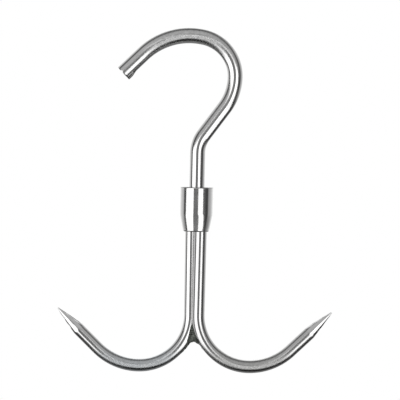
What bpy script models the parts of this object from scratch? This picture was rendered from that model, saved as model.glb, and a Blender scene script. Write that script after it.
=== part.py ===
"""Swivel double meat hook: a rail hook that turns freely in a sleeve with two welded prongs.

Metres, +Z up.  The origin is the rail seat: the lowest line of the rail hook's crown, where it
bears on a rail.  Both hooks lie close to the XZ plane, and the swivel axis is vertical.
The sleeve's own frame has its zero on the swivel axis at the sleeve's top face.
"""
import math

import bmesh
import bpy
from mathutils import Vector

MM = 0.001
GAP = 0.3 * MM                      # room between neighbouring pieces

# rail hook, bent from round bar
HOOK_R = 5.0 * MM
CROWN_BEND_R = 43.0 * MM
CROWN_FREE_ANGLE = 44.5             # degrees of crown bend on the free end's side
CROWN_BACK_ANGLE = 12.0             # and on the shank's side
FREE_END_RUN = 17.8 * MM
SHOULDER_BEND_R = 25.4 * MM
SHOULDER_ANGLE = 78.0
BACK_BEND_R = 33.6 * MM
NECK_ANGLE = 36.0                   # the slanted run's angle from the vertical
NECK_RUN = 21.7 * MM
NECK_BEND_R = 20.0 * MM
SHANK_RUN = 22.3 * MM               # straight shank above the sleeve
END_CHAMFER = 0.4 * MM

# prongs, bent from thinner round bar, one the other turned by half a turn
PRONG_R = 4.1 * MM
STEM_OFFSET = 4.2 * MM              # from the swivel axis to a stem's centre line
STEM_TOP_ANGLE = 45.0               # the pair of stems stands at an angle to the prongs' planes
STEM_LOW_ANGLE = 52.0
PRONG_DEPTH = 114.4 * MM            # sleeve top to the centre line at the bowl's bottom
LEFT_DROP = 0.8 * MM                # the bars are set by hand, the left one a little lower
RIGHT_DROP = -0.3 * MM
BOWL_X = 35.4 * MM                  # swivel axis to the bowl's lowest point
BOWL_RISE_R = 38.0 * MM
BOWL_RISE_ANGLE = 44.0
TIP_RUN = 36.2 * MM                 # straight run to the tip
POINT_LENGTH = 19.3 * MM            # the ground point, part of that run
TIP_R = 0.45 * MM
POINT_SHARES = (0.08, 0.35, 0.65, 0.92, 1.0)
POINT_POWER = 1.15                  # above 1 the point starts with a soft shoulder
STEM_STEPS = 8

# swivel sleeve, turned
SLEEVE_R = 10.62 * MM
SLEEVE_CHAMFER = 0.7 * MM
NOSE_TOP = 17.1 * MM                # the nose's start, below the sleeve's top
SLEEVE_END = 23.4 * MM
NOSE_END = 28.2 * MM                # the nose goes on over the ground weld
NOSE_END_R = 8.3 * MM
NOSE_POWER = 1.15                   # above 1 the nose leaves the cylinder gently
SHOULDER_DEPTH = 6.0 * MM           # solid top with the shank's hole
BORE_R = STEM_OFFSET + PRONG_R + GAP

# inside the sleeve
WASHER_R = 8.0 * MM
WASHER_THICK = 1.5 * MM
RING_R = 7.6 * MM
RING_THICK = 4.0 * MM
SPIGOT_R = 4.0 * MM
STEP_CHAMFER = 0.05 * MM
HEAD_R = 5.5 * MM                   # the peened head
HEAD_THICK = 1.6 * MM
HEAD_EDGE = 0.9 * MM
RING_EDGE = 0.4 * MM
STEM_TOP = 15.9 * MM                # the stems' ends, below the sleeve's top

# welds
CROTCH_DEPTH = 94.0 * MM            # the weld's middle, below the sleeve's top
CROTCH_LONG = 5.6 * MM
CROTCH_SHORT = 2.9 * MM
CROTCH_TALL = 10.5 * MM
CROTCH_TURN = -33.0                 # degrees about the swivel axis, from one bar to the other
CROTCH_ARCH_R = 5.0 * MM
CROTCH_ARCH_TOP = 98.6 * MM
CROTCH_ARCH_LENGTH = 30 * MM
MOUTH_WELD_TOP = 20.6 * MM          # how far the mouth's weld reaches up the bore
MOUTH_EDGE = 0.5 * MM

# mesh fineness
BEND_STEP = 6.0                     # degrees of bend between a bar's rings
BAR_BEVEL_RESOLUTION = 6            # sixteen sides
TURN_STEPS = 48
MERGE = 0.00001
SHARP_ANGLE = 35.0

STEEL = (0.60, 0.60, 0.60, 1.0)
DULL_STEEL = (0.42, 0.42, 0.42, 1.0)
WELD_GREY = (0.13, 0.14, 0.125, 1.0)


def clear_scene():
    for item in list(bpy.data.objects):
        bpy.data.objects.remove(item, do_unlink=True)


def new_collection(name):
    collection = bpy.data.collections.new(name)
    bpy.context.scene.collection.children.link(collection)
    return collection


def metal(name, color, roughness):
    material = bpy.data.materials.new(name)
    material.use_nodes = True
    shader = material.node_tree.nodes["Principled BSDF"]
    shader.inputs["Base Color"].default_value = color
    shader.inputs["Metallic"].default_value = 1.0
    shader.inputs["Roughness"].default_value = roughness
    return material


def bend(path, heading, radius, angle):
    """Add an arc to a path in the XZ plane; a positive angle turns left.  Returns the heading."""
    side = math.copysign(1.0, angle)
    across = Vector((-math.sin(heading), 0.0, math.cos(heading))) * side
    centre = path[-1] + across * radius
    count = max(2, round(abs(angle) / BEND_STEP))
    for index in range(1, count + 1):
        turned = heading + math.radians(angle) * index / count
        outward = Vector((math.sin(turned), 0.0, -math.cos(turned))) * side
        path.append(centre + outward * radius)
    return heading + math.radians(angle)


def run(path, heading, length):
    path.append(path[-1] + Vector((math.cos(heading), 0.0, math.sin(heading))) * length)


def free_end_path():
    """From the crown's top to the square-cut free end."""
    path = [Vector((0.0, 0.0, HOOK_R))]
    heading = bend(path, math.pi, CROWN_BEND_R, CROWN_FREE_ANGLE)
    run(path, heading, FREE_END_RUN - END_CHAMFER)
    run(path, heading, END_CHAMFER)
    return path


def back_path():
    """From the crown's top over the back and down the shank to the sleeve's top face."""
    path = [Vector((0.0, 0.0, HOOK_R))]
    heading = bend(path, 0.0, CROWN_BEND_R, -CROWN_BACK_ANGLE)
    heading = bend(path, heading, SHOULDER_BEND_R, -SHOULDER_ANGLE)
    heading = bend(path, heading, BACK_BEND_R, -NECK_ANGLE)
    run(path, heading, NECK_RUN)
    heading = bend(path, heading, NECK_BEND_R, NECK_ANGLE)
    run(path, heading, SHANK_RUN)
    return path


SLEEVE_TOP = back_path()[-1]        # the sleeve frame's zero, on the swivel axis


def bar(name, points, widths, radius, material, collection):
    """A round bar along points; widths scale its radius at each point."""
    curve = bpy.data.curves.new(name, "CURVE")
    curve.dimensions = "3D"
    curve.bevel_depth = radius
    curve.bevel_resolution = BAR_BEVEL_RESOLUTION
    curve.use_fill_caps = True
    spline = curve.splines.new("POLY")
    spline.points.add(len(points) - 1)
    for spot, point, width in zip(spline.points, points, widths):
        spot.co = (point.x, point.y, point.z, 1.0)
        spot.radius = width
    item = bpy.data.objects.new(name, curve)
    item.location = SLEEVE_TOP
    collection.objects.link(item)
    curve.materials.append(material)
    return item


def as_mesh(item):
    """The curve object's evaluated shape as a mesh object with its caps welded on."""
    bpy.context.view_layer.update()
    graph = bpy.context.evaluated_depsgraph_get()
    mesh = bpy.data.meshes.new_from_object(item.evaluated_get(graph))
    welder = bmesh.new()
    welder.from_mesh(mesh)
    bmesh.ops.remove_doubles(welder, verts=welder.verts, dist=MERGE)
    welder.to_mesh(mesh)
    welder.free()
    name = item.name
    solid = bpy.data.objects.new(name + "_solid", mesh)
    solid.matrix_world = item.matrix_world
    for collection in item.users_collection:
        collection.objects.link(solid)
    bpy.data.objects.remove(item, do_unlink=True)
    solid.name = name
    return solid


def turned(name, profile, material, collection):
    """A solid turned about the swivel axis from (radius, depth) pairs, top to bottom outside."""
    mesh = bpy.data.meshes.new(name)
    spots = [(radius, 0.0, -depth) for radius, depth in profile]
    on_axis = profile[0][0] == 0.0
    edges = [(index, index + 1) for index in range(len(spots) - 1)]
    if not on_axis:
        edges.append((len(spots) - 1, 0))
    mesh.from_pydata(spots, edges, [])
    item = bpy.data.objects.new(name, mesh)
    item.location = SLEEVE_TOP
    collection.objects.link(item)
    mesh.materials.append(material)
    screw = item.modifiers.new("turn", "SCREW")
    screw.axis = "Z"
    screw.steps = TURN_STEPS
    screw.render_steps = TURN_STEPS
    screw.use_merge_vertices = True
    screw.merge_threshold = MERGE
    screw.use_smooth_shade = True
    return item


def nose_radius(depth):
    share = max(0.0, (depth - NOSE_TOP) / (NOSE_END - NOSE_TOP))
    return SLEEVE_R - (SLEEVE_R - NOSE_END_R) * share ** NOSE_POWER


def nose(start, end, count):
    depths = [start + (end - start) * index / count for index in range(count + 1)]
    return [(nose_radius(depth), depth) for depth in depths]


def make_top_hook(material, collection):
    """The rail hook, with its turned-down spigot and peened head inside the sleeve."""
    step_depth = SHOULDER_DEPTH + GAP + WASHER_THICK
    ring_top = step_depth + GAP
    head_top = ring_top + RING_THICK + GAP
    below = [
        (step_depth, HOOK_R),
        (step_depth + STEP_CHAMFER, SPIGOT_R),
        (head_top - STEP_CHAMFER, SPIGOT_R),
        (head_top, HEAD_R),
        (head_top + HEAD_THICK - HEAD_EDGE, HEAD_R),
        (head_top + HEAD_THICK, HEAD_R - HEAD_EDGE),
    ]
    free = free_end_path()
    back = back_path()
    centre_line = list(reversed(free)) + back[1:-1]
    points = [point - SLEEVE_TOP for point in centre_line]
    widths = [1.0] * len(points)
    widths[0] = (HOOK_R - END_CHAMFER) / HOOK_R
    for depth, radius in below:
        points.append(Vector((0.0, 0.0, -depth)))
        widths.append(radius / HOOK_R)
    bar("top_hook", points, widths, HOOK_R, material, collection)


def make_stop_ring(material, collection):
    top = SHOULDER_DEPTH + WASHER_THICK + 2 * GAP
    hole = SPIGOT_R + GAP
    profile = [
        (RING_R - RING_EDGE, top),
        (RING_R, top + RING_EDGE),
        (RING_R, top + RING_THICK - RING_EDGE),
        (RING_R - RING_EDGE, top + RING_THICK),
        (hole, top + RING_THICK),
        (hole, top),
    ]
    turned("stop_ring", profile, material, collection)


def make_thrust_washer(material, collection):
    top = SHOULDER_DEPTH + GAP
    hole = HOOK_R + GAP
    profile = [(WASHER_R, top), (WASHER_R, top + WASHER_THICK), (hole, top + WASHER_THICK), (hole, top)]
    turned("thrust_washer", profile, material, collection)


def make_swivel_sleeve(material, collection):
    hole = HOOK_R + GAP
    outside = [(SLEEVE_R - SLEEVE_CHAMFER, 0.0), (SLEEVE_R, SLEEVE_CHAMFER)]
    outside += nose(NOSE_TOP, SLEEVE_END, 5)
    inside = [(BORE_R, SLEEVE_END), (BORE_R, SHOULDER_DEPTH), (hole, SHOULDER_DEPTH), (hole, 0.0)]
    turned("swivel_sleeve", outside + inside, material, collection)


def prong_path(side, drop):
    """Centre line of a prong in the sleeve's frame; side is 1 for the right, -1 for the left."""
    low = math.radians(STEM_LOW_ANGLE)
    stem_x = STEM_OFFSET * math.cos(low)
    plane_y = -STEM_OFFSET * math.sin(low)
    quarter_r = BOWL_X - stem_x
    bend_top = PRONG_DEPTH + drop - quarter_r
    flat = [Vector((stem_x, 0.0, -bend_top))]
    heading = bend(flat, -math.pi / 2, quarter_r, 90.0)
    heading = bend(flat, heading, BOWL_RISE_R, BOWL_RISE_ANGLE)
    run(flat, heading, TIP_RUN - POINT_LENGTH)
    path = []
    for index in range(STEM_STEPS):
        share = index / STEM_STEPS
        angle = math.radians(STEM_TOP_ANGLE + (STEM_LOW_ANGLE - STEM_TOP_ANGLE) * share)
        depth = STEM_TOP + (bend_top - STEM_TOP) * share
        path.append(Vector((STEM_OFFSET * math.cos(angle), -STEM_OFFSET * math.sin(angle), -depth)))
    path += [point + Vector((0.0, plane_y, 0.0)) for point in flat]
    widths = [1.0] * len(path)
    reach = Vector((math.cos(heading), 0.0, math.sin(heading))) * POINT_LENGTH
    shoulder = path[-1]
    for share in POINT_SHARES:
        path.append(shoulder + reach * share)
        widths.append(1.0 - (1.0 - TIP_R / PRONG_R) * share ** POINT_POWER)
    turned_path = [Vector((point.x * side, point.y * side, point.z)) for point in path]
    return turned_path, widths


def make_prongs(material, collection):
    for name, side, drop in (("left_prong", -1, LEFT_DROP), ("right_prong", 1, RIGHT_DROP)):
        points, widths = prong_path(side, drop)
        bar(name, points, widths, PRONG_R, material, collection)


def make_prong_cutters(material, cutters):
    """The prongs with the gap added all round, to cut the welds back from them."""
    result = []
    for name, side, drop in (("left_prong_room", -1, LEFT_DROP), ("right_prong_room", 1, RIGHT_DROP)):
        points, widths = prong_path(side, drop)
        solid = as_mesh(bar(name, points, widths, PRONG_R + GAP, material, cutters))
        hide_cutter(solid)
        result.append(solid)
    return result


def hide_cutter(item):
    item.hide_render = True
    item.display_type = "WIRE"


def cut(item, cutter):
    boolean = item.modifiers.new("cut_" + cutter.name, "BOOLEAN")
    boolean.operation = "DIFFERENCE"
    boolean.solver = "EXACT"
    boolean.object = cutter


def make_crotch_weld(material, collection, cutters, prong_rooms):
    """The weld web between the bars where they part, with an arched lower edge."""
    mesh = bpy.data.meshes.new("crotch_weld")
    builder = bmesh.new()
    bmesh.ops.create_uvsphere(builder, u_segments=24, v_segments=16, radius=1.0)
    bmesh.ops.scale(builder, verts=builder.verts, vec=(CROTCH_LONG, CROTCH_SHORT, CROTCH_TALL))
    builder.to_mesh(mesh)
    builder.free()
    item = bpy.data.objects.new("crotch_weld", mesh)
    item.location = SLEEVE_TOP - Vector((0.0, 0.0, CROTCH_DEPTH))
    item.rotation_euler = (0.0, 0.0, math.radians(CROTCH_TURN))
    collection.objects.link(item)
    mesh.materials.append(material)

    arch_mesh = bpy.data.meshes.new("crotch_arch")
    builder = bmesh.new()
    bmesh.ops.create_cone(
        builder,
        cap_ends=True,
        segments=32,
        radius1=CROTCH_ARCH_R,
        radius2=CROTCH_ARCH_R,
        depth=CROTCH_ARCH_LENGTH,
    )
    builder.to_mesh(arch_mesh)
    builder.free()
    arch = bpy.data.objects.new("crotch_arch", arch_mesh)
    arch.location = SLEEVE_TOP - Vector((0.0, 0.0, CROTCH_ARCH_TOP + CROTCH_ARCH_R))
    arch.rotation_euler = (math.pi / 2, 0.0, 0.0)
    cutters.objects.link(arch)
    hide_cutter(arch)

    for cutter in prong_rooms + [arch]:
        cut(item, cutter)


def make_sleeve_weld(material, collection, prong_rooms):
    """The weld in the sleeve's mouth round both stems, ground flush with the nose."""
    plug_r = BORE_R - GAP
    rim = SLEEVE_END + GAP
    profile = [(0.0, MOUTH_WELD_TOP), (plug_r, MOUTH_WELD_TOP), (plug_r, rim)]
    profile += nose(rim, NOSE_END - MOUTH_EDGE, 3)
    profile += [(NOSE_END_R - MOUTH_EDGE, NOSE_END), (0.0, NOSE_END)]
    item = turned("sleeve_weld", profile, material, collection)
    for cutter in prong_rooms:
        cut(item, cutter)


def smooth_meshes():
    for item in bpy.data.objects:
        if item.type == "MESH" and item.data.polygons:
            item.data.shade_smooth()
            item.data.set_sharp_from_angle(angle=math.radians(SHARP_ANGLE))


def main():
    clear_scene()
    parts = new_collection("swivel_double_meat_hook")
    cutters = new_collection("cutters")
    steel = metal("stainless_steel", STEEL, 0.16)
    dull = metal("machined_steel", DULL_STEEL, 0.40)
    weld = metal("weld_metal", WELD_GREY, 0.55)

    make_top_hook(steel, parts)
    make_stop_ring(dull, parts)
    make_thrust_washer(dull, parts)
    make_swivel_sleeve(steel, parts)
    make_prongs(steel, parts)
    rooms = make_prong_cutters(steel, cutters)
    make_crotch_weld(weld, parts, cutters, rooms)
    make_sleeve_weld(steel, parts, rooms)
    smooth_meshes()


main()
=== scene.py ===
"""Looks of the swivel double meat hook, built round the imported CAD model.

Every length is in metres in the CAD's own frame: +Z up, the rail seat at the origin.
"""

import math

import bmesh
import bpy
from mathutils import Matrix, Vector, noise


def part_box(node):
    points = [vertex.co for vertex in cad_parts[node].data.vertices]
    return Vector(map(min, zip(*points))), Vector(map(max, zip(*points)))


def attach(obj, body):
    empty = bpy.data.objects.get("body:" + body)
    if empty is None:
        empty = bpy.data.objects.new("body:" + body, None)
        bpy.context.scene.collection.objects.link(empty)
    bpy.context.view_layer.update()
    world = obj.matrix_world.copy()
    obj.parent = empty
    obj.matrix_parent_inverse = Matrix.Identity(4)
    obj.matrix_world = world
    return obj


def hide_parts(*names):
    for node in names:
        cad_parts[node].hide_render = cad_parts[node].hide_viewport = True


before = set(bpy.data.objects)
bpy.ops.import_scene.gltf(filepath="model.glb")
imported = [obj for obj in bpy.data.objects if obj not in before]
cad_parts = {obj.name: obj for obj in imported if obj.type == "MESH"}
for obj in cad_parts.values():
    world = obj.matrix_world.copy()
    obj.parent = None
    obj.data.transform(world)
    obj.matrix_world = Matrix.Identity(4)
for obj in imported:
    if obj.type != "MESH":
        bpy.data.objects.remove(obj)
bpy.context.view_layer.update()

MM = 0.001
MICRON = 0.000001

# the sleeve's own frame: the swivel axis, and the sleeve's top face
SLEEVE_LOW, SLEEVE_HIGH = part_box("swivel_sleeve")
SLEEVE_TOP = Vector(
    ((SLEEVE_LOW.x + SLEEVE_HIGH.x) / 2, (SLEEVE_LOW.y + SLEEVE_HIGH.y) / 2, SLEEVE_HIGH.z)
)

# rail hook
HOOK_R = 5.0 * MM
CROWN_BEND_R = 43.0 * MM
CROWN_FREE_ANGLE = 44.5
CROWN_BACK_ANGLE = 12.0
FREE_END_RUN = 17.8 * MM
SHOULDER_BEND_R = 25.4 * MM
SHOULDER_ANGLE = 78.0
BACK_BEND_R = 33.6 * MM
NECK_ANGLE = 36.0
NECK_RUN = 21.7 * MM
NECK_BEND_R = 20.0 * MM
SHANK_RUN = 22.3 * MM
SPIGOT_R = 4.0 * MM
HEAD_R = 5.5 * MM
END_CHAMFER = (                     # millimetres from the free end, millimetres off the radius
    (0.0, 0.30),
    (0.10, 0.10),
    (0.30, 0.0),
)
LIP_HIGH = 0.9 * MM                 # the lip that the cutting blade left on the free end
LIP_LONG = 8.0 * MM
LIP_FULL = 2.6 * MM
LIP_NARROW = 0.10
CROWN_BENT = (36 * MM, 20 * MM)     # from the crown: where its worn, bent look starts, and is full
HOOK_PROFILE = [                    # below the sleeve's top: depth, radius
    (7.3 * MM, HOOK_R),
    (7.78 * MM, HOOK_R),
    (7.80 * MM, HOOK_R - 0.1 * MM),
    (7.85 * MM, SPIGOT_R),
    (12.35 * MM, SPIGOT_R),
    (12.40 * MM, HEAD_R),
    (13.1 * MM, HEAD_R),
    (13.6 * MM, 5.25 * MM),
    (14.0 * MM, 4.6 * MM),
]

# prongs
PRONG_R = 4.1 * MM
STEM_OFFSET = 4.2 * MM
STEM_TOP_ANGLE = 45.0
STEM_LOW_ANGLE = 52.0
PRONG_DEPTH = 114.4 * MM
LEFT_DROP = 0.8 * MM
RIGHT_DROP = -0.3 * MM
BOWL_X = 35.4 * MM
BOWL_RISE_R = 38.0 * MM
BOWL_RISE_ANGLE = 44.0
TIP_RUN = 36.2 * MM
POINT_LENGTH = 19.3 * MM
TIP_R = 0.45 * MM
POINT_POWER = 1.15
STEM_TOP = 15.9 * MM
HEAT_DEPTH = 94.0 * MM              # where the weld tinted the bars, and how far that reaches
HEAT_REACH = 9 * MM
BOWL_BENT = (34 * MM, 16 * MM)      # from the bowl's lowest point, as CROWN_BENT
FACETS = 6                          # the soft flats that the grinding wheel left round the point
FACET_DEPTH = 0.65
FACET_START = -0.6 * MM             # from the point's shoulder
FACET_FULL = 5 * MM
FACET_TURN = 0.14                   # radians that the right point's flats are turned by
FACET_UNEVEN = 0.35                 # three waves round the point make the flats unequal
FACET_PHASE = 1.0
FACET_WAVER = 0.05                  # and they waver along it
FACET_WAVER_RATE = 900              # radians in a metre

# sleeve
SLEEVE_R = 10.62 * MM
NOSE_TOP = 17.1 * MM
SLEEVE_END = 23.4 * MM
NOSE_END = 28.2 * MM
NOSE_END_R = 8.3 * MM
NOSE_POWER = 1.15
SHOULDER_DEPTH = 6.0 * MM
BORE_R = 8.6 * MM
HOLE_R = 5.3 * MM
SLEEVE_EDGE = 0.22 * MM
HOLE_EDGE = 0.25 * MM
MOUTH_WELD_TOP = 20.6 * MM
MOUTH_WELD_RIM = 1.3 * MM
PLUG_ROOM = 0.3 * MM

# crotch weld
CROTCH_DEPTH = 95.8 * MM
CROTCH_LONG = 4.6 * MM
CROTCH_SHORT = 2.9 * MM
CROTCH_TALL = 9.0 * MM
CROTCH_TURN = -33.0
CROTCH_SHIFT = 0.25 * MM            # towards the front bar
ARCH_TOP = 99.0 * MM                # the web's lower edge: its depth on the axis, and how it falls away
ARCH_FALL = 9.0
TOE_TOP = 91.0 * MM                 # the toes' start and end, below the sleeve's top
TOE_END = 111.0 * MM
TOE_WIDE = 16.0 * MM                # only near the crotch, not on the far rise
TOE_R = 1.6 * MM
TOE_END_R = 0.3 * MM
TOE_TAPER = 1.7
TOE_SINK = 0.35 * MM
TOE_SIDES = 16
WELD_VOXEL = 0.22 * MM
WELD_SOFTEN = 6
RIPPLE_HIGH = 0.05 * MM
RIPPLE_STEP = 0.22 * MM
LUMP_HIGH = 0.24 * MM
GRIT_HIGH = 0.12 * MM
SWAY = 4.0                          # how much the ripples wander
SWAY_SCALE = 250                    # of the noise, as the two below
LUMP_SCALE = 420
GRIT_SCALE = 1300
GRIT_SHIFT = Vector((3, 1, 7))

BEND_STEP = 1.5                     # degrees between a bend's rings
RUN_STEP = 0.9 * MM
SIDES = 72
BAR_SHARP = 35.0                    # degrees above which an edge stays sharp
TURNED_SHARP = 30.0
WELD_SHARP = 60.0


# ---------------------------------------------------------------- centre lines

def bend(path, heading, radius, angle):
    side = math.copysign(1.0, angle)
    across = Vector((-math.sin(heading), 0.0, math.cos(heading))) * side
    centre = path[-1] + across * radius
    count = max(4, round(abs(angle) / BEND_STEP))
    for index in range(1, count + 1):
        turned = heading + math.radians(angle) * index / count
        outward = Vector((math.sin(turned), 0.0, -math.cos(turned))) * side
        path.append(centre + outward * radius)
    return heading + math.radians(angle)


def run(path, heading, length):
    start = path[-1]
    ahead = Vector((math.cos(heading), 0.0, math.sin(heading)))
    count = max(1, round(length / RUN_STEP))
    for index in range(1, count + 1):
        path.append(start + ahead * (length * index / count))


def free_end_path():
    path = [Vector((0.0, 0.0, HOOK_R))]
    heading = bend(path, math.pi, CROWN_BEND_R, CROWN_FREE_ANGLE)
    run(path, heading, FREE_END_RUN)
    return path


def back_path():
    path = [Vector((0.0, 0.0, HOOK_R))]
    heading = bend(path, 0.0, CROWN_BEND_R, -CROWN_BACK_ANGLE)
    heading = bend(path, heading, SHOULDER_BEND_R, -SHOULDER_ANGLE)
    heading = bend(path, heading, BACK_BEND_R, -NECK_ANGLE)
    run(path, heading, NECK_RUN)
    heading = bend(path, heading, NECK_BEND_R, NECK_ANGLE)
    run(path, heading, SHANK_RUN)
    return path


def prong_path(side, drop):
    """Centre line of a prong in the sleeve's frame, and the length along it where the point starts."""
    low = math.radians(STEM_LOW_ANGLE)
    stem_x = STEM_OFFSET * math.cos(low)
    plane_y = -STEM_OFFSET * math.sin(low)
    quarter_r = BOWL_X - stem_x
    bend_top = PRONG_DEPTH + drop - quarter_r
    path = []
    count = round((bend_top - STEM_TOP) / RUN_STEP)
    for index in range(count):
        share = index / count
        angle = math.radians(STEM_TOP_ANGLE + (STEM_LOW_ANGLE - STEM_TOP_ANGLE) * share)
        depth = STEM_TOP + (bend_top - STEM_TOP) * share
        path.append(Vector((STEM_OFFSET * math.cos(angle), -STEM_OFFSET * math.sin(angle), -depth)))
    flat = [Vector((stem_x, 0.0, -bend_top))]
    heading = bend(flat, -math.pi / 2, quarter_r, 90.0)
    heading = bend(flat, heading, BOWL_RISE_R, BOWL_RISE_ANGLE)
    run(flat, heading, TIP_RUN - POINT_LENGTH)
    shoulder = len(path) + len(flat) - 1
    run(flat, heading, POINT_LENGTH)
    path += [point + Vector((0.0, plane_y, 0.0)) for point in flat]
    return [Vector((point.x * side, point.y * side, point.z)) for point in path], shoulder


def lengths_along(points):
    total = [0.0]
    for before, after in zip(points, points[1:]):
        total.append(total[-1] + (after - before).length)
    return total


# ---------------------------------------------------------------- meshes

def finish_mesh(name, verts, faces, fields, sharp):
    """Make the object; fields is {attribute name: one number or one triple for each vertex}."""
    mesh = bpy.data.meshes.new(name)
    mesh.from_pydata([tuple(v) for v in verts], [], faces)
    for field, values in fields.items():
        if isinstance(values[0], float):
            layer = mesh.attributes.new(field, "FLOAT", "POINT")
            layer.data.foreach_set("value", values)
        else:
            layer = mesh.attributes.new(field, "FLOAT_VECTOR", "POINT")
            layer.data.foreach_set("vector", [number for triple in values for number in triple])
    mesh.validate()
    mesh.shade_smooth()
    mesh.set_sharp_from_angle(angle=math.radians(sharp))
    item = bpy.data.objects.new(name, mesh)
    bpy.context.scene.collection.objects.link(item)
    return item


def tube(name, points, radii, extra, masks):
    """A closed round bar.  Each vertex keeps its place on the straightened bar in 'grain'.

    extra(along, turn, radius) is added to the radius; masks is {attribute name: rule(along, turn)}.
    """
    along = lengths_along(points)
    verts, grain, axis = [], [], []
    fields = {key: [] for key in masks}
    for index, point in enumerate(points):
        ahead = points[min(index + 1, len(points) - 1)] - points[max(index - 1, 0)]
        ahead.normalize()
        out = Vector((0.0, 1.0, 0.0)).cross(ahead).normalized()
        front = out.cross(ahead).normalized()
        for spoke in range(SIDES):
            turn = 2 * math.pi * spoke / SIDES
            reach = radii[index] + extra(along[index], turn, radii[index])
            away = out * math.cos(turn) + front * math.sin(turn)
            verts.append(point + away * reach)
            grain.append((reach * math.cos(turn), reach * math.sin(turn), along[index]))
            axis.append(tuple(ahead))
            for key, rule in masks.items():
                fields[key].append(float(rule(along[index], turn)))
    faces = []
    for ring in range(len(points) - 1):
        for spoke in range(SIDES):
            one, two = ring * SIDES + spoke, ring * SIDES + (spoke + 1) % SIDES
            faces.append((one + SIDES, two + SIDES, two, one))
    for ring, flip in ((0, True), (len(points) - 1, False)):
        base = ring * SIDES
        hub = len(verts)
        verts.append(sum((verts[base + s] for s in range(SIDES)), Vector()) / SIDES)
        grain.append((0.0, 0.0, along[ring]))
        axis.append(axis[base])
        for key in fields:
            fields[key].append(fields[key][base])
        for spoke in range(SIDES):
            one, two = base + spoke, base + (spoke + 1) % SIDES
            faces.append((one, two, hub) if flip else (two, one, hub))
    fields["grain"] = grain
    fields["axis"] = axis
    return finish_mesh(name, verts, faces, fields, BAR_SHARP)


def turned(name, profile, sides=128):
    """A solid turned about the swivel axis from (radius, depth) pairs."""
    verts, faces, grain = [], [], []
    on_axis = profile[0][0] == 0.0
    for radius, depth in profile:
        for spoke in range(sides):
            turn = 2 * math.pi * spoke / sides
            verts.append(SLEEVE_TOP + Vector((radius * math.cos(turn), radius * math.sin(turn), -depth)))
            grain.append((radius * math.cos(turn), radius * math.sin(turn), -depth))
    count = len(profile)
    for ring in range(count if not on_axis else count - 1):
        here, below = ring * sides, (ring + 1) % count * sides
        for spoke in range(sides):
            after = (spoke + 1) % sides
            faces.append((here + spoke, below + spoke, below + after, here + after))
    item = finish_mesh(name, verts, faces, {"grain": grain}, TURNED_SHARP)
    cleaner = bmesh.new()
    cleaner.from_mesh(item.data)
    bmesh.ops.remove_doubles(cleaner, verts=cleaner.verts, dist=1e-6)
    bmesh.ops.recalc_face_normals(cleaner, faces=cleaner.faces)
    cleaner.to_mesh(item.data)
    cleaner.free()
    item.data.set_sharp_from_angle(angle=math.radians(TURNED_SHARP))
    return item


def smooth_step(low, high, value):
    share = min(1.0, max(0.0, (value - low) / (high - low)))
    return share * share * (3 - 2 * share)


def make_hook_bar():
    free = free_end_path()
    back = back_path()
    centre = list(reversed(free)) + back[1:-1]
    ahead = (centre[1] - centre[0]).normalized()
    centre[:1] = [centre[0] + ahead * step * MM for step, _ in END_CHAMFER]
    radii = [HOOK_R - cut * MM for _, cut in END_CHAMFER]
    radii += [HOOK_R] * (len(centre) - len(radii))
    points = list(centre)
    for depth, radius in HOOK_PROFILE:
        points.append(SLEEVE_TOP - Vector((0.0, 0.0, depth)))
        radii.append(radius)

    def lip(along, turn, _radius):
        """A ridge along the inner side of the free end."""
        side = math.exp(-((math.cos(turn) - 1.0) / LIP_NARROW) ** 2)
        return LIP_HIGH * side * smooth_step(LIP_LONG, LIP_FULL, along)

    crown_at = lengths_along(free)[-1]
    masks = {
        "bent": lambda along, turn: smooth_step(*CROWN_BENT, abs(along - crown_at)),
        "heat": lambda along, turn: 0.0,
    }
    return tube("hook_bar", points, radii, lip, masks)


def make_prong(name, side, drop):
    centre, shoulder = prong_path(side, drop)
    points = [point + SLEEVE_TOP for point in centre]
    along = lengths_along(points)
    start = along[shoulder]
    total = along[-1]
    radii = []
    for reach in along:
        share = max(0.0, (reach - start) / (total - start))
        radii.append(PRONG_R * (1 - (1 - TIP_R / PRONG_R) * share ** POINT_POWER))

    def facet(reach, turn, radius):
        """Uneven flats that grow from the shoulder to the tip."""
        share = smooth_step(start + FACET_START, start + FACET_FULL, reach)
        spin = turn if side < 0 else math.pi - turn + FACET_TURN
        wobble = FACET_UNEVEN * math.sin(3 * spin - FACET_PHASE)
        wobble += FACET_WAVER * math.sin(FACET_WAVER_RATE * reach)
        wedge = 2 * math.pi / FACETS
        local = ((spin + wobble) % wedge) - wedge / 2
        flat = math.cos(wedge / 2) / math.cos(local)
        return radius * (flat - 1) * FACET_DEPTH * share

    crotch = HEAT_DEPTH - STEM_TOP
    lowest = min(range(len(points)), key=lambda index: points[index].z)
    bowl = along[lowest]
    masks = {
        "heat": lambda reach, turn: math.exp(-((reach - crotch) / HEAT_REACH) ** 2),
        "bent": lambda reach, turn: smooth_step(*BOWL_BENT, abs(reach - bowl)),
    }
    item = tube(name, points, radii, facet, masks)
    first = shoulder * SIDES
    for face in item.data.polygons:             # the second material is the ground point's
        face.material_index = 1 if min(face.vertices) >= first else 0
    return item


def nose_radius(depth):
    share = max(0.0, (depth - NOSE_TOP) / (NOSE_END - NOSE_TOP))
    return SLEEVE_R - (SLEEVE_R - NOSE_END_R) * share ** NOSE_POWER


def nose(start, end, count):
    depths = [start + (end - start) * index / count for index in range(count + 1)]
    return [(nose_radius(depth), depth) for depth in depths]


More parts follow.
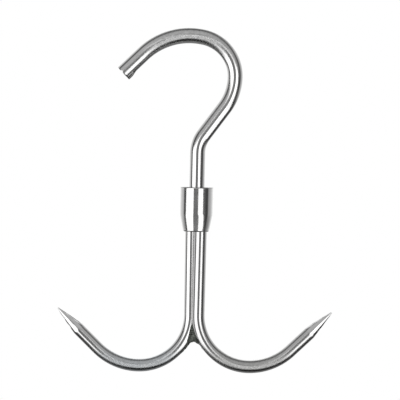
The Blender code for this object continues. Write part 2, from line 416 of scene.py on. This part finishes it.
def make_sleeve():
    edge = SLEEVE_EDGE
    outside = [(SLEEVE_R - edge, 0.0), (SLEEVE_R - 0.3 * edge, 0.3 * edge), (SLEEVE_R, edge)]
    outside += [(SLEEVE_R, edge + (NOSE_TOP - edge) * share) for share in (0.02, 0.25, 0.5, 0.75, 0.97)]
    outside += nose(NOSE_TOP, SLEEVE_END, 14)
    inside = [(BORE_R, SLEEVE_END), (BORE_R, SHOULDER_DEPTH), (HOLE_R, SHOULDER_DEPTH)]
    inside += [(HOLE_R, HOLE_EDGE), (HOLE_R + HOLE_EDGE, 0.0)]
    item = turned("sleeve_shell", outside + inside)
    for face in item.data.polygons:             # the second material is the top face's and bore's, painted dark as shade round the shank
        across = Vector((face.center.x - SLEEVE_TOP.x, face.center.y - SLEEVE_TOP.y)).length
        depth = SLEEVE_TOP.z - face.center.z
        face.material_index = 1 if depth < 0.5 * edge or across < BORE_R + 0.1 * MM else 0
    return item


def make_mouth_weld():
    rim = MOUTH_WELD_RIM
    plug_r = BORE_R - PLUG_ROOM
    profile = [(0.0, MOUTH_WELD_TOP), (plug_r, MOUTH_WELD_TOP), (plug_r, SLEEVE_END)]
    profile += nose(SLEEVE_END, NOSE_END - rim, 8)
    at = nose_radius(NOSE_END - rim)
    steps = 8
    for index in range(1, steps + 1):
        turn = math.radians(90) * index / steps
        profile.append((at - rim * 0.75 * (1 - math.cos(turn)), NOSE_END - rim + rim * math.sin(turn)))
    inner = profile[-1][0]
    profile += [(inner * share, NOSE_END) for share in (0.75, 0.5, 0.25)]
    profile += [(0.0, NOSE_END)]
    return turned("mouth_weld", profile)


def ball_mesh(builder, turn):
    """The web between the bars: a tall flattened ball with an arched lower edge."""
    made = bmesh.ops.create_uvsphere(builder, u_segments=48, v_segments=36, radius=1.0)
    for vert in made["verts"]:
        spot = turn @ Vector((vert.co.x * CROTCH_LONG, vert.co.y * CROTCH_SHORT, vert.co.z * CROTCH_TALL))
        spot.x += CROTCH_SHIFT
        spot.z -= CROTCH_DEPTH
        lowest = -ARCH_TOP - abs(spot.x) ** 1.5 * ARCH_FALL
        spot.z = max(spot.z, lowest)
        vert.co = spot


def toe_mesh(builder, side, drop):
    """The weld's toe: it runs out down the inner side of one bar, and thins to nothing."""
    centre, _ = prong_path(side, drop)
    steps = [point for point in centre if TOE_TOP < -point.z < TOE_END and abs(point.x) < TOE_WIDE]
    rings = []
    for index, point in enumerate(steps):
        share = index / (len(steps) - 1)
        towards_axis = Vector((-point.x, -point.y, 0.0))
        underneath = Vector((-side * 4.0, -point.y * 500, -3.0)) * MM
        inward = towards_axis * (1 - share) + underneath * share
        inward.normalize()
        middle = point + inward * (PRONG_R - TOE_SINK)
        reach = TOE_R + (TOE_END_R - TOE_R) * share ** TOE_TAPER
        ahead = (steps[min(index + 1, len(steps) - 1)] - steps[max(index - 1, 0)]).normalized()
        out = Vector((0.0, 1.0, 0.0)).cross(ahead).normalized()
        front = out.cross(ahead)
        ring = []
        for spoke in range(TOE_SIDES):
            turn = 2 * math.pi * spoke / TOE_SIDES
            ring.append(builder.verts.new(middle + (out * math.cos(turn) + front * math.sin(turn)) * reach))
        rings.append(ring)
    for above, below in zip(rings, rings[1:]):
        for spoke in range(TOE_SIDES):
            after = (spoke + 1) % TOE_SIDES
            builder.faces.new((below[spoke], below[after], above[after], above[spoke]))
    builder.faces.new(rings[0])
    builder.faces.new(list(reversed(rings[-1])))


def make_crotch_weld():
    """The web and both toes, fused, softened and roughened."""
    builder = bmesh.new()
    turn = Matrix.Rotation(math.radians(CROTCH_TURN), 3, "Z")
    ball_mesh(builder, turn)
    toe_mesh(builder, -1, LEFT_DROP)
    toe_mesh(builder, 1, RIGHT_DROP)
    rough = bpy.data.meshes.new("crotch_weld_rough")
    builder.to_mesh(rough)
    builder.free()
    item = bpy.data.objects.new("crotch_weld_rough", rough)
    bpy.context.scene.collection.objects.link(item)
    remesh = item.modifiers.new("fuse", "REMESH")
    remesh.mode = "VOXEL"
    remesh.voxel_size = WELD_VOXEL
    smooth = item.modifiers.new("soften", "SMOOTH")
    smooth.factor = 0.5
    smooth.iterations = WELD_SOFTEN
    bpy.context.view_layer.update()
    graph = bpy.context.evaluated_depsgraph_get()
    mesh = bpy.data.meshes.new_from_object(item.evaluated_get(graph))
    bpy.data.objects.remove(item, do_unlink=True)
    verts, grain = [], []
    for vert in mesh.vertices:
        spot = vert.co
        sway = SWAY * noise.noise(spot * SWAY_SCALE)
        ripple = RIPPLE_HIGH * math.sin(-spot.z / RIPPLE_STEP + sway)
        lump = LUMP_HIGH * noise.noise(spot * LUMP_SCALE)
        lump += GRIT_HIGH * noise.noise(spot * GRIT_SCALE + GRIT_SHIFT)
        moved = spot + vert.normal * (ripple + lump)
        verts.append(moved + SLEEVE_TOP)
        grain.append(tuple(spot))
    faces = [tuple(face.vertices) for face in mesh.polygons]
    return finish_mesh("crotch_weld_bead", verts, faces, {"grain": grain}, WELD_SHARP)


# ---------------------------------------------------------------- materials

# how a noise is stretched, on the straightened bar or the turned piece: across twice, then along
EVEN = (1, 1, 1)
BAR_RINGS = (0.02, 0.02, 1)
BAR_DRAWN = (1, 1, 0.05)
WHEEL_MARKS = (0.25, 0.25, 1)
TURNED_RINGS = (0.03, 0.03, 1)
FACED_RINGS = (0.05, 0.05, 1)

HEAT_TINT = (0.36, 0.35, 0.31, 1.0)
WELD_SOOT = (0.030, 0.034, 0.030, 1.0)
WELD_SCALE = (0.13, 0.14, 0.125, 1.0)
WELD_GLINT = (0.24, 0.235, 0.22, 1.0)
LEFT_TINT = (0.967, 1.0, 1.026)
RIGHT_TINT = (1.0, 1.0, 0.985)
NO_TINT = (1.0, 1.0, 1.0)


class Look:
    """A material, with short calls for the nodes that it needs."""

    def __init__(self, name):
        self.material = bpy.data.materials.new(name)
        self.material.use_nodes = True
        self.tree = self.material.node_tree
        self.shader = self.tree.nodes["Principled BSDF"]

    def node(self, kind, inputs=None, **settings):
        made = self.tree.nodes.new("ShaderNode" + kind)
        for key, value in settings.items():
            setattr(made, key, value)
        for key, value in (inputs or {}).items():
            self.feed(value, made.inputs[key])
        return made

    def feed(self, value, socket):
        if isinstance(value, bpy.types.NodeSocket):
            self.tree.links.new(value, socket)
        else:
            socket.default_value = value

    def mask(self, name):
        return self.node("Attribute", attribute_name=name).outputs["Fac"]

    def place(self, scale):
        """The point on the straightened bar, scaled on each axis."""
        grain = self.node("Attribute", attribute_name="grain").outputs["Vector"]
        return self.node("Mapping", {"Vector": grain, "Scale": scale}).outputs["Vector"]

    def noise(self, scale, stretch=EVEN, detail=3.0, rough=0.55):
        vector = self.place(stretch)
        inputs = {"Vector": vector, "Scale": scale, "Detail": detail, "Roughness": rough}
        return self.node("TexNoise", inputs).outputs["Fac"]

    def span(self, value, low, high, start=0.0, end=1.0):
        """From low to high as the value goes from start to end."""
        made = self.node(
            "MapRange", {"Value": value, "From Min": start, "From Max": end, "To Min": low, "To Max": high}
        )
        return made.outputs["Result"]

    def maths(self, operation, one, two=0.0):
        made = self.node("Math", operation=operation)
        self.feed(one, made.inputs[0])
        self.feed(two, made.inputs[1])
        return made.outputs[0]

    def mix(self, share, one, two):
        made = self.node("Mix", data_type="RGBA")
        self.feed(share, made.inputs[0])
        self.feed(one, made.inputs[6])
        self.feed(two, made.inputs[7])
        return made.outputs[2]

    def bump(self, height, distance, strength=1.0, below=None):
        inputs = {"Height": height, "Distance": distance, "Strength": strength}
        if below is not None:
            inputs["Normal"] = below
        return self.node("Bump", inputs).outputs["Normal"]

    def streak(self, amount):
        """Spread the highlights along the bar, as polishing marks round it do."""
        axis = self.node("Attribute", attribute_name="axis").outputs["Vector"]
        turned = self.node("VectorTransform", {"Vector": axis}, convert_from="OBJECT", convert_to="WORLD")
        self.feed(turned.outputs["Vector"], self.shader.inputs["Tangent"])
        self.shader.inputs["Anisotropic"].default_value = amount

    def finish(self, color, roughness, normal, metallic=1.0):
        self.feed(color, self.shader.inputs["Base Color"])
        self.feed(roughness, self.shader.inputs["Roughness"])
        self.feed(normal, self.shader.inputs["Normal"])
        self.shader.inputs["Metallic"].default_value = metallic
        return self.material


def grey(level, warm=0.0):
    return (level + warm, level, level - warm, 1.0)


def bar_look(name, level, shine, tint):
    """Ground and polished stainless bar: very fine marks round it, and a few faint ones along it.

    The bends are rougher and mottled, and the tint shows there; the weld's heat left a brown cast.
    """
    look = Look(name)
    rings = look.noise(scale=9000, stretch=BAR_RINGS, detail=2.0)
    drawn = look.noise(scale=1500, stretch=BAR_DRAWN, detail=3.0)
    cloud = look.noise(scale=150, stretch=EVEN, detail=4.0)
    pits = look.noise(scale=2600, stretch=EVEN, detail=2.0)
    grain = look.noise(scale=700, stretch=EVEN, detail=4.0, rough=0.65)
    heat = look.mask("heat")
    bent = look.mask("bent")
    tone = look.mix(look.span(drawn, 0, 1, 0.3, 0.7), grey(level * 0.95, 0.003), grey(level, 0.0))
    mottled = [tuple(level * share * part for part in tint) + (1.0,) for share in (0.80, 1.04)]
    tone = look.mix(bent, tone, look.mix(look.span(grain, 0, 1, 0.35, 0.65), *mottled))
    tone = look.mix(look.span(cloud, 0.0, 0.5, 0.45, 0.75), tone, grey(level * 0.86, 0.004))
    tone = look.mix(look.maths("MULTIPLY", heat, 0.45), tone, HEAT_TINT)
    rough = look.span(rings, shine, shine + 0.03)
    rough = look.maths("ADD", rough, look.span(cloud, 0.0, 0.02, 0.35, 0.75))
    rough = look.maths("ADD", rough, look.maths("MULTIPLY", bent, 0.15))
    rough = look.maths("ADD", rough, look.maths("MULTIPLY", heat, 0.03))
    normal = look.bump(drawn, 2 * MICRON, 0.5)
    normal = look.bump(rings, 3 * MICRON, 0.4, normal)
    normal = look.bump(pits, 2 * MICRON, 0.3, normal)
    look.streak(1.0)
    return look.finish(tone, rough, normal)


def point_look(name, level, shine):
    """The hand-ground point: fine slanting wheel marks on bright facets."""
    look = Look(name)
    wheel = look.noise(scale=4200, stretch=WHEEL_MARKS, detail=2.0)
    cloud = look.noise(scale=260, stretch=EVEN, detail=3.0)
    tone = look.mix(look.span(wheel, 0, 1, 0.3, 0.7), grey(level * 0.9, 0.002), grey(level))
    rough = look.span(wheel, shine, shine + 0.07)
    rough = look.maths("ADD", rough, look.span(cloud, 0.0, 0.04, 0.3, 0.7))
    normal = look.bump(wheel, 8 * MICRON, 0.5)
    return look.finish(tone, rough, normal)


def turned_look(name, level, shine, lines_scale=7000):
    """Turned and polished steel: very fine rings round the axis."""
    look = Look(name)
    rings = look.noise(scale=lines_scale, stretch=TURNED_RINGS, detail=2.0)
    cloud = look.noise(scale=180, stretch=EVEN, detail=4.0)
    tone = look.mix(look.span(cloud, 0, 1, 0.35, 0.7), grey(level * 0.92, 0.002), grey(level))
    rough = look.span(rings, shine, shine + 0.08)
    rough = look.maths("ADD", rough, look.span(cloud, 0.0, 0.05, 0.35, 0.75))
    normal = look.bump(rings, 10 * MICRON, 0.4)
    return look.finish(tone, rough, normal)


def faced_painted_shade_look(name, level):
    """Faced but unpolished steel, painted dark as the shade and dark reflection round the shank; grease and
    soot darken its tool marks further.
    """
    look = Look(name)
    rings = look.noise(scale=2400, stretch=FACED_RINGS, detail=2.0)
    soot = look.noise(scale=600, stretch=EVEN, detail=4.0)
    tone = look.mix(look.span(soot, 0, 1, 0.35, 0.65), grey(level * 0.5, 0.002), grey(level, 0.003))
    rough = look.span(rings, 0.38, 0.5)
    rough = look.maths("ADD", rough, look.span(soot, 0.0, 0.15, 0.35, 0.75))
    normal = look.bump(soot, 40 * MICRON, 0.5)
    return look.finish(tone, rough, normal, 0.8)


def weld_look(name):
    """Unpolished weld bead: dark, slightly green grey, with soot in its hollows."""
    look = Look(name)
    coarse = look.noise(scale=700, stretch=EVEN, detail=4.0)
    fine = look.noise(scale=3200, stretch=EVEN, detail=3.0)
    tone = look.mix(look.span(coarse, 0, 1, 0.35, 0.7), WELD_SOOT, WELD_SCALE)
    tone = look.mix(look.span(fine, 0, 0.5, 0.55, 0.85), tone, WELD_GLINT)
    rough = look.span(fine, 0.34, 0.62)
    normal = look.bump(coarse, 200 * MICRON, 0.5)
    normal = look.bump(fine, 30 * MICRON, 0.5, normal)
    return look.finish(tone, rough, normal, 0.9)


def floor_look(name, near, far):
    """Pale matt floor that fades out at its edge."""
    look = Look(name)
    shader = look.shader
    place = look.node("TexCoord").outputs["Object"]
    length = look.node("VectorMath", {0: place}, operation="LENGTH").outputs["Value"]
    speck = look.node("TexNoise", {"Vector": place, "Scale": 3.0, "Detail": 5.0}).outputs["Fac"]
    tone = look.mix(look.span(speck, 0, 1, 0.3, 0.7), grey(0.80), grey(0.84))
    shader.inputs["Roughness"].default_value = 0.9
    look.feed(tone, shader.inputs["Base Color"])
    look.feed(look.span(length, 1.0, 0.0, near, far), shader.inputs["Alpha"])
    return look.material


# ---------------------------------------------------------------- studio

# Every angle is in degrees and seen from the hook.  Azimuth is 0 towards the camera and grows to the
# right; aside is its size, and left_side its negative.  A fade says where it starts and where it ends,
# and a window says its two edges and their softness.
WALL_LEFT_FADE = (-92.0, -44.0)             # the dim room in front
WALL_RIGHT_FADE = (86.0, 32.0)
WALL_RISE = (5.0, 40.0)
WALL_LEVELS = (0.38, 0.62)
DARKEST = 0.03
GAP_SIDES = (-24.0, 83.0, 5.0)              # the darker low part of it, round the right box
GAP_HEIGHTS = (-30.0, 3.0, 5.0)
GAP_DIMS = 0.5
FLAGS = ((-22.0, -12.0, 3.0), (1.0, 11.0, 3.0))
FLAG_HEIGHTS = (-24.0, 8.0, 6.0)
FLAG_DIMS = 0.30
LEFT_BACKDROP = (((92.0, 108.0), 0.72), ((110.0, 160.0), 0.45))     # fade by left_side, level
RIGHT_BACKDROP = (((80.0, 96.0), 0.50), ((95.0, 160.0), 0.75))      # fade by azimuth, level
BACKDROP_FOOT = (-30.0, -8.0)
BACKDROP_HEAD = (62.0, 34.0)
OVER_SIDES = (60.0, 100.0)                  # a faint light above and behind
OVER_HEIGHTS = (48.0, 66.0)
OVER_LEVEL = 0.12
FOOT_FADE = (-56.0, -32.0)                  # everything so far goes dark below
UNDER_SIDES = (110.0, 150.0)                # light off the floor behind
UNDER_HEIGHTS = (-20.0, -45.0)
UNDER_LEVEL = 0.30

# The two soft boxes.  Their inner edges lean below LEAN_FROM, their outer edges lean everywhere and
# spread below FLARE_FROM, and their top edges slope about the azimuth called middle.
LEAN_FROM = -4.0
FLARE_FROM = -22.0
SOFT_BOXES = (
    dict(inner=-23.0, inner_lean=0.15, outer=-77.0, outer_lean=0.3, flare=1.0, low=-37.0,
         high=11.5, slope=0.15, middle=-45.0, soft=3.0, bright=1.75),
    dict(inner=12.0, inner_lean=-0.3, outer=43.0, outer_lean=-0.45, flare=-1.4, low=-38.0,
         high=8.5, slope=0.0, middle=30.0, soft=2.5, bright=1.9),
)

FLOOR_Z = -2.1
FLOOR_R = 5.0
FLOOR_SOLID_R = 2.4                         # it fades out from here to its edge
FLOOR_RINGS = 12
FLOOR_SPOKES = 64

CAMERA_TARGET = Vector((8.17, 0.0, -100.1)) * MM
CAMERA_DISTANCE = 1.5
CAMERA_ELEVATION = 1.8
CAMERA_ROLL = 1.2
VIEW_WIDTH = 256.4 * MM
SENSOR_WIDTH = 36.0


def make_world():
    """White to the camera; to the steel, a studio with two tall soft boxes."""
    world = bpy.data.worlds.new("studio")
    bpy.context.scene.world = world
    world.use_nodes = True
    tree = world.node_tree
    tree.nodes.clear()

    def node(kind, inputs=None, **settings):
        made = tree.nodes.new("ShaderNode" + kind)
        for key, value in settings.items():
            setattr(made, key, value)
        for key, value in (inputs or {}).items():
            if isinstance(value, bpy.types.NodeSocket):
                tree.links.new(value, made.inputs[key])
            else:
                made.inputs[key].default_value = value
        return made.outputs[0]

    def ramp(value, start, end, low=0.0, high=1.0):
        return node(
            "MapRange",
            {"Value": value, "From Min": start, "From Max": end, "To Min": low, "To Max": high},
            interpolation_type="SMOOTHSTEP",
        )

    def maths(operation, one, two=0.0):
        return node("Math", {0: one, 1: two}, operation=operation)

    direction = tree.nodes.new("ShaderNodeTexCoord").outputs["Generated"]
    split = tree.nodes.new("ShaderNodeSeparateXYZ")
    tree.links.new(direction, split.inputs[0])
    x, y, z = split.outputs
    azimuth = maths("MULTIPLY", maths("ARCTAN2", x, maths("MULTIPLY", y, -1.0)), 180 / math.pi)
    elevation = maths("MULTIPLY", maths("ARCSINE", z), 180 / math.pi)

    def times(*factors):
        product = factors[0]
        for factor in factors[1:]:
            product = maths("MULTIPLY", product, factor)
        return product

    def within(value, low, high, soft):
        return times(ramp(value, low - soft, low + soft), ramp(value, high + soft, high - soft))

    def less(value, amount, mask):
        return times(value, maths("SUBTRACT", 1.0, times(mask, amount)))

    aside = maths("ABSOLUTE", azimuth)
    left_side = maths("MULTIPLY", azimuth, -1.0)
    front = times(ramp(azimuth, *WALL_LEFT_FADE), ramp(azimuth, *WALL_RIGHT_FADE))
    level = maths("ADD", times(front, ramp(elevation, *WALL_RISE, *WALL_LEVELS)), DARKEST)
    level = less(level, GAP_DIMS, times(within(azimuth, *GAP_SIDES), within(elevation, *GAP_HEIGHTS)))
    flags = maths("ADD", within(azimuth, *FLAGS[0]), within(azimuth, *FLAGS[1]))
    level = less(level, FLAG_DIMS, times(flags, within(elevation, *FLAG_HEIGHTS)))
    backdrop = 0.0
    for fade, bright in LEFT_BACKDROP:
        backdrop = maths("ADD", backdrop, times(ramp(left_side, *fade), bright))
    for fade, bright in RIGHT_BACKDROP:
        backdrop = maths("ADD", backdrop, times(ramp(azimuth, *fade), bright))
    backdrop = times(backdrop, ramp(elevation, *BACKDROP_FOOT), ramp(elevation, *BACKDROP_HEAD))
    level = maths("ADD", level, backdrop)
    over = times(ramp(aside, *OVER_SIDES), ramp(elevation, *OVER_HEIGHTS), OVER_LEVEL)
    level = times(maths("ADD", level, over), ramp(elevation, *FOOT_FADE))
    under = times(ramp(aside, *UNDER_SIDES), ramp(elevation, *UNDER_HEIGHTS), UNDER_LEVEL)
    level = maths("ADD", level, maths("ADD", under, DARKEST))

    dip = maths("MAXIMUM", maths("SUBTRACT", LEAN_FROM, elevation), 0.0)
    drop = maths("MAXIMUM", maths("SUBTRACT", FLARE_FROM, elevation), 0.0)
    for box in SOFT_BOXES:
        side, soft = math.copysign(1.0, box["outer"]), box["soft"]
        inner = maths("SUBTRACT", box["inner"], times(dip, box["inner_lean"]))
        outer = maths("ADD", times(elevation, box["outer_lean"]), box["outer"])
        outer = maths("SUBTRACT", outer, times(drop, box["flare"]))
        from_inner = times(maths("SUBTRACT", azimuth, inner), side)
        to_outer = times(maths("SUBTRACT", outer, azimuth), side)
        wide = times(ramp(from_inner, -soft, soft), ramp(to_outer, -soft, soft))
        top = maths("ADD", times(maths("SUBTRACT", azimuth, box["middle"]), box["slope"]), box["high"])
        below = ramp(maths("SUBTRACT", top, elevation), -soft, soft)
        above = ramp(elevation, box["low"] - soft, box["low"] + soft)
        level = maths("ADD", level, times(wide, above, below, box["bright"]))
    seen = tree.nodes.new("ShaderNodeLightPath").outputs["Is Camera Ray"]
    level = maths("MAXIMUM", maths("MULTIPLY", level, maths("SUBTRACT", 1.0, seen)), seen)
    surface = node("Background", {"Color": level, "Strength": 1.0})
    output = tree.nodes.new("ShaderNodeOutputWorld")
    tree.links.new(surface, output.inputs["Surface"])


def make_floor():
    verts, faces = [(0.0, 0.0, 0.0)], []
    for ring in range(1, FLOOR_RINGS + 1):
        reach = FLOOR_R * ring / FLOOR_RINGS
        for spoke in range(FLOOR_SPOKES):
            turn = 2 * math.pi * spoke / FLOOR_SPOKES
            verts.append((reach * math.cos(turn), reach * math.sin(turn), 0.0))
    for spoke in range(FLOOR_SPOKES):
        faces.append((0, 1 + spoke, 1 + (spoke + 1) % FLOOR_SPOKES))
    for ring in range(FLOOR_RINGS - 1):
        base = 1 + ring * FLOOR_SPOKES
        for spoke in range(FLOOR_SPOKES):
            one, two = base + spoke, base + (spoke + 1) % FLOOR_SPOKES
            faces.append((one, one + FLOOR_SPOKES, two + FLOOR_SPOKES, two))
    mesh = bpy.data.meshes.new("studio_floor")
    mesh.from_pydata(verts, [], faces)
    mesh.materials.append(floor_look("pale_floor", FLOOR_SOLID_R, FLOOR_R))
    item = bpy.data.objects.new("studio_floor", mesh)
    item.location = (SLEEVE_TOP.x, 0.0, FLOOR_Z)
    bpy.context.scene.collection.objects.link(item)
    item.visible_glossy = False


def make_light():
    """A large soft light overhead: it only lights the floor, as the steel sees the studio itself."""
    data = bpy.data.lights.new("overhead", "AREA")
    data.shape = "DISK"
    data.size = 3.0
    data.energy = 80.0
    item = bpy.data.objects.new("overhead", data)
    item.location = (SLEEVE_TOP.x, 0.0, 2.4)
    bpy.context.scene.collection.objects.link(item)
    item.visible_camera = False
    item.visible_glossy = False


def make_camera():
    elevation, roll = math.radians(CAMERA_ELEVATION), math.radians(CAMERA_ROLL)
    data = bpy.data.cameras.new("camera")
    data.sensor_width = SENSOR_WIDTH
    data.lens = SENSOR_WIDTH * CAMERA_DISTANCE / VIEW_WIDTH
    camera = bpy.data.objects.new("camera", data)
    bpy.context.scene.collection.objects.link(camera)
    away = Vector((0.0, -math.cos(elevation), math.sin(elevation)))
    turn = Matrix.Rotation(math.pi / 2 - elevation, 4, "X") @ Matrix.Rotation(roll, 4, "Z")
    camera.matrix_world = Matrix.Translation(CAMERA_TARGET + away * CAMERA_DISTANCE) @ turn
    bpy.context.scene.camera = camera


# ---------------------------------------------------------------- assembly

def place(piece, materials, body, node, slot):
    for material in materials:
        piece.data.materials.append(material)
    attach(piece, body)
    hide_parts(node)


def keep(node, material):
    """Show the CAD node itself, with this material."""
    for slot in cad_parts[node].material_slots:
        slot.material = material


def main():
    hook_steel = bar_look("hook_steel_polished", 0.62, 0.095, NO_TINT)
    left_steel = bar_look("left_prong_steel_polished", 0.60, 0.095, LEFT_TINT)
    right_steel = bar_look("right_prong_steel_polished", 0.55, 0.11, RIGHT_TINT)
    point_steel = point_look("point_steel_ground", 0.60, 0.10)
    sleeve_steel = turned_look("sleeve_steel_turned", 0.64, 0.09)
    # the sleeve's top face and bore: painted shade, dark round the shank
    sleeve_face_painted_shade = faced_painted_shade_look("sleeve_steel_faced_painted_shade", 0.13)
    machined = turned_look("machined_steel_plain", 0.45, 0.25, 4000)
    weld = weld_look("weld_bead")
    ground_weld = turned_look("mouth_weld_ground", 0.62, 0.10)

    place(make_hook_bar(), [hook_steel], "hanger", "top_hook", "hook_steel")
    left = make_prong("left_prong_bar", -1, LEFT_DROP)
    right = make_prong("right_prong_bar", 1, RIGHT_DROP)
    place(left, [left_steel, point_steel], "swivel", "left_prong", "prong_steel")
    place(right, [right_steel, point_steel], "swivel", "right_prong", "prong_steel")
    place(make_sleeve(), [sleeve_steel, sleeve_face_painted_shade], "swivel", "swivel_sleeve", "sleeve_steel")
    place(make_mouth_weld(), [ground_weld], "swivel", "sleeve_weld", "ground_weld")
    place(make_crotch_weld(), [weld], "swivel", "crotch_weld", "weld_metal")
    keep("stop_ring", machined)
    keep("thrust_washer", machined)

    make_world()
    make_floor()
    make_light()
    make_camera()
    bpy.context.scene.view_settings.view_transform = "Standard"


main()
